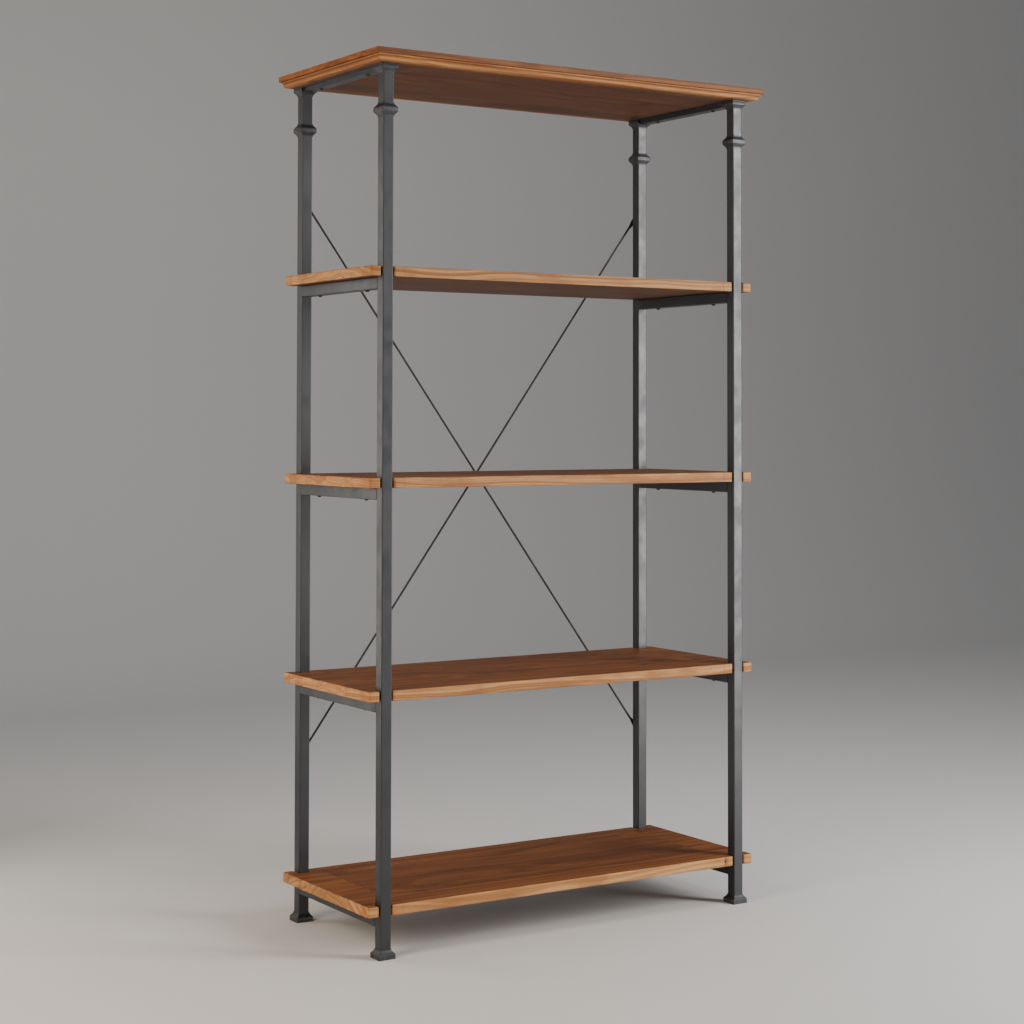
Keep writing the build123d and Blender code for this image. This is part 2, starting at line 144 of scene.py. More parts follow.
def corner_rub_and_highlight(low, high):
    """The worn and painted-highlight share of a square bar that fills the box low..high:
    full on its four long corners, and 0 on its flats. It follows the smaller of a point's
    two offsets, as shares of the half widths."""
    middle = [(a + b) / 2 for a, b in zip(low, high)]
    half = [(b - a) / 2 for a, b in zip(low, high)]
    long_axis = half.index(max(half))

    def rub_and_painted_light(tree, where):
        parts = add(tree, "ShaderNodeSeparateXYZ", {0: where}).outputs
        reach = []
        for axis in range(3):
            if axis != long_axis:
                offset = work(tree, "SUBTRACT", parts[axis], middle[axis])
                reach.append(work(tree, "DIVIDE", work(tree, "ABSOLUTE", offset), half[axis]))
        nearer = work(tree, "MINIMUM", *reach)
        return between(tree, nearer, corner_from, corner_to, 0.0, corner_wear_and_highlight)

    return rub_and_painted_light


def coat(node_name, material):
    """Gives a CAD node this one material."""
    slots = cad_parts[node_name].data.materials
    slots.clear()
    slots.append(material)


sides = ("left", "right")
ends = ("front", "rear")
corners = [(end, side) for end in ends for side in sides]
rung_names = [f"{side}_rung_{number}" for side in sides for number in (1, 2, 3, 4)]
tube_names = [f"{end}_{side}_post" for end, side in corners] + rung_names
for tube_name in tube_names + [f"{side}_top_rail" for side in sides]:
    coat(tube_name, enamel(f"{tube_name}_enamel", corner_rub_and_highlight(*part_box(tube_name))))


# ---- Feet, caps and collars ------------------------------------------------------------------
# Small sand castings in the same enamel: a square band, a flare in to the tube and a plug inside
# it.  A cap is a foot upside down, cut off at its groove.  A collar is slid on to the post.

cast_steps = 6                   # points in each rounded corner, seen from above
cast_soft = 0.25 * mm            # radius of the softened arrises
cast_grain = 0.04 * mm           # how far the sand leaves the skin from true
grain_length = 60 * mm
grain_slant = (3.1, 4.7, 5.3)    # keeps the ripple from lining up with X, Y or Z
# the castings' widest band is painted paler: worn enamel and a painted highlight
paler_band_from, paler_band_over = 16 * mm, 4 * mm   # half width where wear begins, and how fast it grows
cast_wear_and_highlight = 0.22
neck_corner = 1.2 * mm
band_corner = 1.6 * mm

# heights above a foot's underside
groove_from, groove_to = 3.0 * mm, 4.0 * mm
band_top = 10.0 * mm
shoulder_level = 14.0 * mm
neck_from, neck_to = 18.0 * mm, 20.0 * mm
plug_end = 45.0 * mm
recess_top = 4.6 * mm
hexagon_top = 8.5 * mm
# half widths, and steps between them
groove_in = 0.8 * mm
shoulder_in = 3.7 * mm
neck_wall = 1.0 * mm
plug_in = 3.2 * mm
pad_recess = 13.2 * mm
hexagon_bore = 7.53 * mm
stud_bore = 4.08 * mm
cap_centre = 0.5 * mm            # a cap's ends are filled in from this ring
# collars: heights from the middle, and the wall at each neck
collar_band, collar_flare = 4.0 * mm, 12.0 * mm
collar_wall = 0.9 * mm
bore_corner = 2 * mm


def soften(profile, radius):
    """A profile's rows (half width, corner radius, height), with each inner row replaced by an arc
    of this radius that touches both of its runs. The arc is a quadratic curve with the row as its
    middle control point, and takes up at most most_of_run of a run."""
    most_of_run = 0.45
    rows = np.asarray(profile, float)
    made = [rows[:1]]
    for before, here, after in zip(rows[:-2], rows[1:-1], rows[2:]):
        legs = []
        for other in (before, after):
            run = other - here
            length = max(math.hypot(run[0], run[2]), 1e-9)
            legs.append(here + run * min(radius / length, most_of_run))
        t = np.linspace(0, 1, 4)[:, None]
        made.append((1 - t) ** 2 * legs[0] + 2 * t * (1 - t) * here + t**2 * legs[1])
    made.append(rows[-1:])
    return np.vstack(made)


def square_rings(profile, centre):
    """One ring of points for each row of the profile: a square of that half width with corners of
    that radius. A point is the corner's own centre, plus radius times (cos, sin) of an angle that
    goes once round, and two points divide each side."""
    half, radius, height = profile.T[:, :, None]
    radius = np.minimum(radius, half)
    quarter = np.linspace(0, math.pi / 2, cast_steps)
    rings = []
    for turn, (sx, sy) in enumerate(((1, 1), (-1, 1), (-1, -1), (1, -1))):
        angle = quarter + turn * math.pi / 2
        x = sx * (half - radius) + radius * np.cos(angle)
        y = sy * (half - radius) + radius * np.sin(angle)
        rings.append(np.stack([x, y], -1))
    pieces = []
    for turn in range(4):
        first, second = rings[turn][:, -1:], rings[(turn + 1) % 4][:, :1]
        share = np.array([1 / 3, 2 / 3])[None, :, None]
        pieces += [rings[turn], first + (second - first) * share]
    plan = np.concatenate(pieces, 1)
    level = np.broadcast_to(height, plan.shape[:2])
    return np.dstack([plan[..., 0] + centre[0], plan[..., 1] + centre[1], level])


def grid_faces(rows, columns, close_rows=False):
    """Quads of a grid of points, whose columns close on themselves, and whose rows do too if
    close_rows is true."""
    first = np.arange(rows if close_rows else rows - 1)[:, None]
    second = (first + 1) % rows
    here = np.arange(columns)[None, :]
    after = (here + 1) % columns
    lower, upper = first * columns, second * columns
    return np.stack([lower + here, lower + after, upper + after, upper + here], -1).reshape(-1, 4)


def make_piece(name, points, faces, material, stands_for, edge, plank=None):
    """Turns points and faces into a closed piece: doubles are merged, open ends are filled, and
    normals are turned outwards. edge (per point) says how near a worn arris it is, and how much
    painted light it gets; plank (per face) says which plank it belongs to."""
    merge_within, shortest_edge, sharp_angle = 2e-6, 1e-6, 35.0
    number = np.zeros(len(faces)) if plank is None else plank
    mesh = bpy.data.meshes.new(name)
    mesh.from_pydata(points.reshape(-1, 3).tolist(), [], faces.tolist())
    for label, domain, values in (("edge", "POINT", np.ravel(edge)), ("plank", "FACE", number)):
        attribute = mesh.attributes.new(label, "FLOAT", domain)
        attribute.data.foreach_set("value", values.astype(np.float32))
    shape = bmesh.new()
    shape.from_mesh(mesh)
    bmesh.ops.remove_doubles(shape, verts=shape.verts, dist=merge_within)
    bmesh.ops.dissolve_degenerate(shape, edges=shape.edges, dist=shortest_edge)
    bmesh.ops.holes_fill(shape, edges=[e for e in shape.edges if e.is_boundary])
    bmesh.ops.recalc_face_normals(shape, faces=shape.faces)
    shape.to_mesh(mesh)
    shape.free()
    mesh.shade_smooth()
    mesh.set_sharp_from_angle(angle=math.radians(sharp_angle))
    mesh.materials.append(material)
    piece = bpy.data.objects.new(name, mesh)
    bpy.context.scene.collection.objects.link(piece)
    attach(piece, "frame")
    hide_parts(*stands_for)
    return piece


def wander(seed, place, length, waves=7):
    """A smooth random line or field between about -1 and 1: the sum of sine waves along place, each
    with its own phase, over the root of their number. Each wave is shorter than the last by
    shorten, and lower by lower."""
    shorten, lower = 1.37, 1.2
    random = np.random.default_rng(seed)
    total = np.zeros(np.shape(place))
    for wave in range(waves):
        span = length / shorten**wave
        phase = random.uniform(0, 2 * math.pi)
        total = total + np.sin(2 * math.pi * place / span + phase) / lower**wave
    return total / math.sqrt(waves)


def cast_piece(name, profile, seed, closed, stands_for):
    """A casting: the softened profile is carried round a square with rounded corners, and its skin
    is moved in by the size of a fine random ripple."""
    low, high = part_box(stands_for)
    centre = ((low.x + high.x) / 2, (low.y + high.y) / 2)
    rings = square_rings(soften(profile, cast_soft), centre)
    outward = rings[..., :2] - np.array(centre)
    size = np.linalg.norm(outward, axis=-1, keepdims=True)
    place = sum(rings[..., axis] * grain_slant[axis] for axis in range(3))
    ripple = (wander(seed, place, grain_length) * cast_grain)[..., None]
    rings[..., :2] -= outward / np.maximum(size, 1e-6) * np.abs(ripple)
    # the widest band gets a paler tone: part wear, part painted highlight
    widest = np.abs(outward).max(axis=-1)
    edge = np.clip((widest - paler_band_from) / paler_band_over, 0, 1)
    points = rings.reshape(-1, 3)
    faces = grid_faces(rings.shape[0], rings.shape[1], close_rows=closed)
    return make_piece(name, points, faces, cast_enamel, (stands_for,), edge)


def casting_rub_and_highlight(tree, where):
    """The worn and painted-highlight share of a casting: its own edge value, lightly."""
    edge = add(tree, "ShaderNodeAttribute", attribute_name="edge").outputs["Fac"]
    return work(tree, "MULTIPLY", edge, cast_wear_and_highlight)


cast_enamel = enamel(
    "cast_enamel", casting_rub_and_highlight, peel=0.9 * mm, depth=0.08 * mm, rough=(0.42, 0.58)
)

for index, (end, side) in enumerate(corners):
    foot, cap, collar = (f"{end}_{side}_{kind}" for kind in ("foot", "cap", "collar"))
    low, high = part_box(foot)
    outer = (high.x - low.x) / 2
    post_low, post_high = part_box(f"{end}_{side}_post")
    neck = (post_high.x - post_low.x) / 2 + neck_wall
    plug = neck - plug_in
    outside = [
        (outer - groove_in, band_corner, groove_from),
        (outer - groove_in, band_corner, groove_to),
        (outer, band_corner, groove_to),
        (outer, band_corner, band_top),
        (outer - shoulder_in, band_corner, shoulder_level),
        (neck, neck_corner, neck_from),
        (neck, neck_corner, neck_to),
        (plug, neck_corner, neck_to),
        (plug, neck_corner, plug_end),
    ]
    foot_profile = [
        (pad_recess, pad_recess, 0.0),
        (outer, band_corner, 0.0),
        (outer, band_corner, groove_from),
        *outside,
        (stud_bore, stud_bore, plug_end),
        (stud_bore, stud_bore, hexagon_top),
        (hexagon_bore, hexagon_bore, hexagon_top),
        (hexagon_bore, hexagon_bore, recess_top),
        (pad_recess, pad_recess, recess_top),
        (pad_recess, pad_recess, 0.0),
    ]
    cast_piece(f"{foot}_casting", foot_profile, 11 + index, True, foot)

    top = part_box(cap)[1].z
    upright = [
        (cap_centre, cap_centre, groove_from), *outside, (cap_centre, cap_centre, plug_end)
    ]
    cap_profile = [(half, radius, top + (groove_from - height)) for half, radius, height in upright]
    cast_piece(f"{cap}_casting", cap_profile, 31 + index, False, cap)

    low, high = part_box(collar)
    middle, neck_end = (low.z + high.z) / 2, (high.z - low.z) / 2
    bore = neck - collar_wall
    collar_profile = [
        (bore, bore_corner, middle - neck_end),
        (neck, neck_corner, middle - neck_end),
        (neck, neck_corner, middle - collar_flare),
        (outer, band_corner, middle - collar_band),
        (outer, band_corner, middle + collar_band),
        (neck, neck_corner, middle + collar_flare),
        (neck, neck_corner, middle + neck_end),
        (bore, bore_corner, middle + neck_end),
        (bore, bore_corner, middle - neck_end),
    ]
    cast_piece(f"{collar}_casting", collar_profile, 51 + index, True, collar)


# ---- Levelling glides ------------------------------------------------------------------------
# A moulded nylon pad under each foot, and a zinc-plated stud with a hexagon that screws up into
# the casting.  The pad is scuffed where it drags on the floor.

nylon_tone = (0.035, 0.033, 0.031)
nylon_scuff_tone = (0.16, 0.15, 0.14)
zinc_tone = (0.52, 0.53, 0.55)
zinc_stain_tone = (0.36, 0.34, 0.30)


def stained_finish(name, first, second, scale, skin_scale, skin_depth, rough, **fixed):
    """A plain finish whose colour drifts from first to second in patches, over a fine skin."""
    material, tree = new_tree(name)
    where = add(tree, "ShaderNodeTexCoord").outputs["Object"]
    patches = between(tree, cloud(tree, where, scale, detail=5.0, roughness=0.6), 0.42, 0.68)
    colour = tone(tree, patches, first, second)
    skin = cloud(tree, where, skin_scale, detail=3.0)
    roughness = between(tree, cloud(tree, where, scale * 2.7), 0.3, 0.7, *rough)
    finish_surface(tree, colour, roughness, skin, skin_depth, **fixed)
    return material


nylon = stained_finish(
    "glide_nylon", nylon_tone, nylon_scuff_tone, 160.0, 2200.0, 0.05 * mm, (0.45, 0.62)
)
zinc = stained_finish(
    "zinc_plate", zinc_tone, zinc_stain_tone, 120.0, 1500.0, 0.02 * mm, (0.24, 0.40), Metallic=1.0
)
for end, side in corners:
    coat(f"{end}_{side}_glide_pad", nylon)
    coat(f"{end}_{side}_glide_stud", zinc)


# ---- Shelves ---------------------------------------------------------------------------------
# Each shelf is a panel of glued pine planks with a notched board of the same on each end, held by
# a tongue.  The faces are stained a reddish brown.  The edges are paler: partly worn back to
# paler wood, partly painted light on the upright edges and rounded arrises.

shelf_round = 1.5 * mm
joint_ease = 0.35 * mm           # where a panel meets its end board
tongue_setback = 45 * mm
tongue_half = 4 * mm
tongue_length = 10 * mm
slot_play = 0.2 * mm
notch_play = 3 * mm              # between a post and each side of its notch
last_strip = 28 * mm             # width of the strip along each rear edge

seam_depth = 0.30 * mm
seam_width = 0.55 * mm
crown = 0.10 * mm                # how far a plank's middle stands above its edges
cupping = 0.06 * mm              # slow unevenness of the faces
bow = 0.12 * mm                  # and of the edges
flat_edge_least = 0.6 * mm       # arrises smaller than this are not worn
arris_least, arris_most = 0.1 * mm, 3.2 * mm
arris_margin = 3.8 * mm          # the faces' own points stop this far from the edges
station_gap = 4.5 * mm
across_gap = 9 * mm
seam_clear = 2.4 * mm            # no ordinary point lies nearer to a seam than this
seam_points = np.array([-1.6, -0.9, -0.4, 0.0, 0.4, 0.9, 1.6]) * mm

saw_pitch = 7.5 * mm
saw_strength = 0.52
eye_radius, eye_blur = 3.5 * mm, 6.5 * mm
halo_radius, halo_blur = 4.0 * mm, 20.0 * mm
seam_stain, seam_blur = 0.5 * mm, 1.8 * mm
grain_depth = 0.16 * mm

face_dark = (0.082, 0.021, 0.004)
face_mid = (0.205, 0.058, 0.010)
face_light = (0.340, 0.118, 0.024)
# edge tones: worn paler wood, partly painted light on the upright edges and arrises
edge_dark = (0.300, 0.108, 0.026)
edge_light = (0.660, 0.355, 0.140)
saw_tone = (0.700, 0.430, 0.230)
knot_tone = (0.040, 0.014, 0.008)
face_tones, rim_tones = (face_dark, face_mid, face_light), (edge_dark, edge_light)


def stained_wood(name, along_axis, edge_tones, seam_at=None, knots=(), saw=1.0, under=0.5):
    """Stained pine. The growth rings are cylinders round a pith line that runs along the grain a
    few centimetres below the board, bent by noise, so faces show arches and ends show arcs. Each
    plank has its own pith, tone and start."""
    material, tree = new_tree(name)
    where = add(tree, "ShaderNodeTexCoord").outputs["Object"]
    parts = add(tree, "ShaderNodeSeparateXYZ", {0: where}).outputs
    along, across = (parts[0], parts[1]) if along_axis == "X" else (parts[1], parts[0])
    plank = add(tree, "ShaderNodeAttribute", attribute_name="plank").outputs["Fac"]
    chance = add(tree, "ShaderNodeTexWhiteNoise", {"W": plank}, noise_dimensions="1D").outputs
    draw = add(tree, "ShaderNodeSeparateColor", {0: chance["Color"]}).outputs
    start = work(tree, "MULTIPLY", plank, 1.7)
    shifted = work(tree, "ADD", along, start)
    grain_at = add(tree, "ShaderNodeCombineXYZ", {0: shifted, 1: across, 2: parts[2]}).outputs[0]

    # growth rings
    sway = cloud(tree, grain_at, 1.0, detail=2.0, stretch=(1.6, 7.0, 7.0))
    pith_across = work(tree, "MULTIPLY", work(tree, "SUBTRACT", draw[0], 0.5), 0.16)
    from_pith = work(tree, "SUBTRACT", across, pith_across)
    depth = work(tree, "ADD", parts[2], work(tree, "MULTIPLY_ADD", draw[1], 0.06, 0.03))
    bent = work(tree, "MULTIPLY_ADD", sway, 0.085, depth)
    squares = [work(tree, "MULTIPLY", leg, leg) for leg in (from_pith, bent)]
    radius = work(tree, "SQRT", work(tree, "ADD", *squares))
    ring_at = add(tree, "ShaderNodeCombineXYZ", {0: radius, 1: start}).outputs[0]
    rings = cloud(tree, ring_at, 210.0, detail=3.0, roughness=0.62, stretch=(1.0, 0.01, 1.0))
    # streaks, fibres and pores run along the grain
    streaks = cloud(tree, grain_at, 1.0, detail=4.0, roughness=0.6, stretch=(2.2, 34.0, 34.0))
    fibres = cloud(tree, grain_at, 1.0, detail=4.0, roughness=0.7, stretch=(22.0, 620.0, 620.0))
    pores = cloud(tree, grain_at, 1.0, detail=2.0, stretch=(70.0, 1700.0, 1700.0))
    pore_marks = between(tree, pores, 0.60, 0.72)

    # knots: a few small dark eyes, each with a softer halo
    knot_at = add(
        tree, "ShaderNodeVectorMath", {0: grain_at, 1: (1.0, 1.7, 1.7)}, operation="MULTIPLY"
    ).outputs[0]
    cell = add(
        tree, "ShaderNodeTexVoronoi", {"Vector": knot_at, "Scale": 4.2, "Randomness": 1.0}
    ).outputs
    cell_draw = add(tree, "ShaderNodeSeparateColor", {0: cell["Color"]}).outputs[0]
    keep = between(tree, cell_draw, 0.70, 0.72)
    ragged = work(tree, "MULTIPLY_ADD", fibres, 0.02, cell["Distance"])
    eye = work(tree, "MULTIPLY", between(tree, ragged, 0.024, 0.044, 1.0, 0.0), keep)
    halo = work(tree, "MULTIPLY", between(tree, ragged, 0.03, 0.14, 0.7, 0.0), keep)

    # saw marks: pale straight strokes across the grain, in patches
    slanted = work(tree, "MULTIPLY_ADD", across, 0.06, shifted)
    stroke_at = work(tree, "MULTIPLY_ADD", sway, 0.008, slanted)
    unsteady = cloud(tree, grain_at, 1.0, detail=2.0, stretch=(26.0, 4.0, 4.0))
    stroke_at = work(tree, "MULTIPLY_ADD", unsteady, 0.022, stroke_at)
    strokes = work(tree, "SINE", work(tree, "MULTIPLY", stroke_at, 2 * math.pi / saw_pitch))
    patches = cloud(tree, grain_at, 1.0, detail=3.0, stretch=(3.0, 14.0, 9.0))
    breaks = cloud(tree, grain_at, 1.0, detail=3.0, stretch=(150.0, 24.0, 24.0))
    marks = between(tree, draw[1], 0.30, 0.45, 0.25, 1.0)
    for share in (
        between(tree, patches, 0.52, 0.68),
        between(tree, strokes, 0.30, 1.0),
        between(tree, breaks, 0.40, 0.62),
        saw,
    ):
        marks = work(tree, "MULTIPLY", marks, share)

    # colour of the faces
    dark, mid, light = face_tones
    body = tone(tree, between(tree, rings, 0.30, 0.70), dark, light)
    body = tone(tree, 0.45, body, mid)
    body = tone(tree, between(tree, streaks, 0.32, 0.50, 0.50, 0.0), body, dark)
    body = tone(tree, between(tree, streaks, 0.52, 0.72, 0.0, 0.55), body, light)
    body = tone(tree, work(tree, "MULTIPLY", marks, saw_strength), body, saw_tone)
    # colour of the edges: worn paler wood, partly painted light
    rim = tone(tree, between(tree, rings, 0.25, 0.75), *edge_tones)
    figure = cloud(tree, grain_at, 1.0, detail=3.0, stretch=(8.0, 20.0, 20.0))
    rim = tone(tree, between(tree, streaks, 0.30, 0.48, 0.45, 0.0), rim, edge_tones[0])
    rim = tone(tree, between(tree, figure, 0.36, 0.52, 0.55, 0.0), rim, edge_tones[0])
    near_edge = add(tree, "ShaderNodeAttribute", attribute_name="edge").outputs["Fac"]
    uneven = work(tree, "MULTIPLY_ADD", cloud(tree, where, 60.0, detail=4.0), 0.5, -0.25)
    # share of the rim colour: wear, and painted light on the upright edges and arrises
    rubbed_and_painted_light = between(tree, work(tree, "ADD", near_edge, uneven), 0.35, 0.75)
    colour = tone(tree, rubbed_and_painted_light, body, rim)
    colour = tone(tree, halo, colour, dark)
    colour = tone(tree, eye, colour, knot_tone)
    colour = tone(tree, work(tree, "MULTIPLY", pore_marks, 0.35), colour, dark)
    for knot in knots:
        off_knot = add(
            tree, "ShaderNodeVectorMath", {0: where, 1: knot}, operation="DISTANCE"
        ).outputs["Value"]
        off_knot = work(tree, "MULTIPLY_ADD", fibres, 4.0 * mm, off_knot)
        for solid, blur, most, stain in (
            (halo_radius, halo_blur, 0.75, mid), (eye_radius, eye_blur, 0.9, knot_tone)
        ):
            colour = tone(tree, between(tree, off_knot, solid, blur, most, 0.0), colour, stain)
    if seam_at is not None:
        off_seam = work(tree, "ABSOLUTE", work(tree, "SUBTRACT", across, seam_at))
        line = between(tree, off_seam, seam_stain, seam_blur, 0.9, 0.0)
        colour = tone(tree, line, colour, dark)
    # planks differ in depth of stain, fibres glint, and undersides get a painted shade
    depth_of_stain = work(tree, "MULTIPLY_ADD", draw[2], 0.30, 0.85)
    fibre_tone = work(tree, "MULTIPLY_ADD", fibres, 0.5, 0.75)
    normal = add(tree, "ShaderNodeNewGeometry").outputs["Normal"]
    facing = add(tree, "ShaderNodeSeparateXYZ", {0: normal}).outputs[2]
    # painted shade: faces that look down are darkened
    below = between(tree, facing, -0.9, -0.5, under, 1.0)
    strength = work(tree, "MULTIPLY", work(tree, "MULTIPLY", depth_of_stain, fibre_tone), below)
    colour = add(
        tree, "ShaderNodeVectorMath", {0: colour, "Scale": strength}, operation="SCALE"
    ).outputs[0]

    rough = work(tree, "MULTIPLY_ADD", fibres, 0.20, 0.46)
    rough = work(tree, "MULTIPLY_ADD", marks, 0.18, rough)
    height = work(tree, "MULTIPLY_ADD", rings, 0.35, work(tree, "MULTIPLY", fibres, 0.35))
    height = work(tree, "MULTIPLY_ADD", pore_marks, -0.5, height)
    height = work(tree, "MULTIPLY_ADD", marks, 0.7, height)
    height = work(tree, "MULTIPLY_ADD", eye, -0.8, height)
    finish_surface(tree, colour, rough, height, grain_depth, Specular_IOR_Level=0.28)
    return material


def knocks(seed, place, length, count, tallest):
    """How far an arris is knocked down along its length: the sum of count small hollows, each a
    Gaussian of its own place, width and depth."""
    random = np.random.default_rng(seed)
    total = np.zeros(np.shape(place))
    for _ in range(count):
        middle = random.uniform(-length / 2, length / 2)
        width = random.uniform(3 * mm, 9 * mm)
        deep = random.uniform(0.2, 1.0) * tallest
        total = total + deep * np.exp(-(((place - middle) / width) ** 2))
    return total


def plank_board(
    name, low, high, seams, rounds, seed, material, stands_for, first_plank, tongue=False
):
    """A board of planks glued side by side: its outline in Y and Z is a loop of points, carried
    along X. The loop goes up the front edge, over a worn quarter round, back along the top, down
    the back edge and forward underneath. The top and underside dip as a Gaussian at each seam, and
    rise over each plank as a half sine wave to the power 0.7. rounds are the radii of the front
    top, back top, back bottom and front bottom arrises."""
    (x0, y0, z0), (x1, y1, z1) = low, high
    count = max(8, int((x1 - x0) / station_gap))
    inside = np.linspace(x0 + joint_ease, x1 - joint_ease, count)
    x = np.concatenate([[x0], inside, [x1]])[:, None]
    ease = np.zeros_like(x)
    ease[0] = ease[-1] = joint_ease
    length = x1 - x0
    middle_x = (x0 + x1) / 2
    radii = []
    for k, plain in enumerate(rounds):
        worn = plain * (1 + 0.22 * wander(seed + k, x, 0.35))
        worn = worn + knocks(seed + 40 + k, x - middle_x, length, 16, 0.8 * mm)
        chosen = worn if plain > flat_edge_least else plain + 0 * x
        radii.append(np.clip(chosen, arris_least, arris_most))
    top_front, top_back, low_back, low_front = radii
    edges_y = np.array([y0, *seams, y1])
    across = np.linspace(y0 + arris_margin, y1 - arris_margin, int((y1 - y0) / across_gap))
    for seam in seams:
        across = across[np.abs(across - seam) > seam_clear]
        across = np.concatenate([across, seam + seam_points])
    across = np.sort(across)[None, :]
    plank_of = np.searchsorted(edges_y[1:-1], across[0])
    left_y, right_y = edges_y[plank_of], edges_y[plank_of + 1]
    # held to 0..1, because a seam's own point may lie a rounding error past its plank
    share_across = np.clip((across[0] - left_y) / (right_y - left_y), 0, 1)
    arch = np.sin(math.pi * share_across).clip(0, 1)
    swell = crown * arch**0.7 - crown
    dip = sum(np.exp(-(((across[0] - seam) / seam_width) ** 2)) for seam in seams)
    drift = wander(seed + 5, x + 0.7 * across, 0.5) * cupping - cupping
    face = swell - seam_depth * dip + drift
    quarter = np.linspace(0, math.pi / 2, 6)[None, :]
    shares = np.array([0.2, 0.4, 0.6, 0.8])[None, :]

    def arris(radius, y_edge, y_way, z_edge, z_way, rising):
        """A quarter round of the loop: from its upright to its flat side if rising, or back."""
        angle = quarter if rising else quarter[:, ::-1]
        y = y_edge + y_way * radius * (1 - np.cos(angle))
        return y, z_edge + z_way * radius * (1 - np.sin(angle))

    front_y = y0 + bow * (1 + wander(seed + 6, x, 0.4))
    back_y = y1 - bow * (1 + wander(seed + 7, x, 0.4))
    front_low, front_high = z0 + low_front, z1 - top_front
    back_low, back_high = z0 + low_back, z1 - top_back
    ones, side_ones = np.ones_like(x), np.ones_like(shares)
    loop = [
        (front_y * side_ones, front_low + (front_high - front_low) * shares, 1.0),
        (*arris(top_front, front_y, 1, z1, -1, True), None),
        (across * ones, z1 + face, 0.0),
        (*arris(top_back, back_y, -1, z1, -1, False), None),
        (back_y * side_ones, back_high + (back_low - back_high) * shares, 1.0),
        (*arris(low_back, back_y, -1, z0, 1, True), None),
        (across[:, ::-1] * ones, z0 - face[:, ::-1], 0.0),
        (*arris(low_front, front_y, 1, z0, 1, False), None),
    ]
    y = np.concatenate([part[0] for part in loop], 1)
    z = np.concatenate([part[1] for part in loop], 1)
    # edge values: the paler rim on upright edges and arrises is partly wear, partly painted light
    rubs_and_painted_light = []
    for part_index, (part_y, _, rub_and_painted_light) in enumerate(loop):
        if rub_and_painted_light is None:
            fade = np.linspace(1.0, 0.62, part_y.shape[1])
            rubs_and_painted_light.append(fade if part_index in (1, 5) else fade[::-1])
        else:
            rubs_and_painted_light.append(np.full(part_y.shape[1], rub_and_painted_light))
    edge = np.broadcast_to(np.concatenate(rubs_and_painted_light), y.shape)
    y = np.clip(y, y0 + ease, y1 - ease)
    z = np.clip(z, z0 + ease, z1 - ease)
    rings = np.dstack([np.broadcast_to(x, y.shape), y, z])
    if tongue:
        middle_z = (z0 + z1) / 2
        shoulder = []
        for ring, out in ((rings[0], -tongue_length), (rings[-1], tongue_length)):
            held = ring.copy()
            held[:, 1] = np.clip(held[:, 1], y0 + tongue_setback, y1 - tongue_setback)
            held[:, 2] = np.clip(held[:, 2], middle_z - tongue_half, middle_z + tongue_half)
            far = held.copy()
            far[:, 0] += out
            shoulder.append((held, far))
        (left_root, left_tip), (right_root, right_tip) = shoulder
        rings = np.concatenate([[left_tip], [left_root], rings, [right_root], [right_tip]])
        edge = np.concatenate([edge[:1], edge[:1], edge, edge[-1:], edge[-1:]])
    columns = rings.shape[1]
    faces = grid_faces(rings.shape[0], columns)
    at = rings.reshape(-1, 3)[faces, 1].mean(1)
    plank = np.searchsorted(edges_y[1:-1], at) + first_plank
    return make_piece(name, rings, faces, material, stands_for, edge, plank)


def trace(corners_in, step):
    """A closed outline through corners (x, y, radius), anticlockwise. Each corner is a quadratic
    arc that starts and ends at radius from it, and each straight is divided into equal steps."""
    corner = np.asarray(corners_in, float)
    made = []
    for before, here, after in zip(np.roll(corner, 1, 0), corner, np.roll(corner, -1, 0)):
        inward, outward = before[:2] - here[:2], after[:2] - here[:2]
        start = here[:2] + inward / np.linalg.norm(inward) * here[2]
        finish = here[:2] + outward / np.linalg.norm(outward) * here[2]
        t = np.linspace(0, 1, 6)[:, None]
        made.append((1 - t) ** 2 * start + 2 * t * (1 - t) * here[:2] + t**2 * finish)
        away = after[:2] + (here[:2] - after[:2]) / np.linalg.norm(outward) * after[2]
        steps = max(2, int(np.linalg.norm(away - finish) / step))
        share = np.linspace(0, 1, steps + 1)[1:-1, None]
        made.append(finish + (away - finish) * share)
    return np.vstack(made)


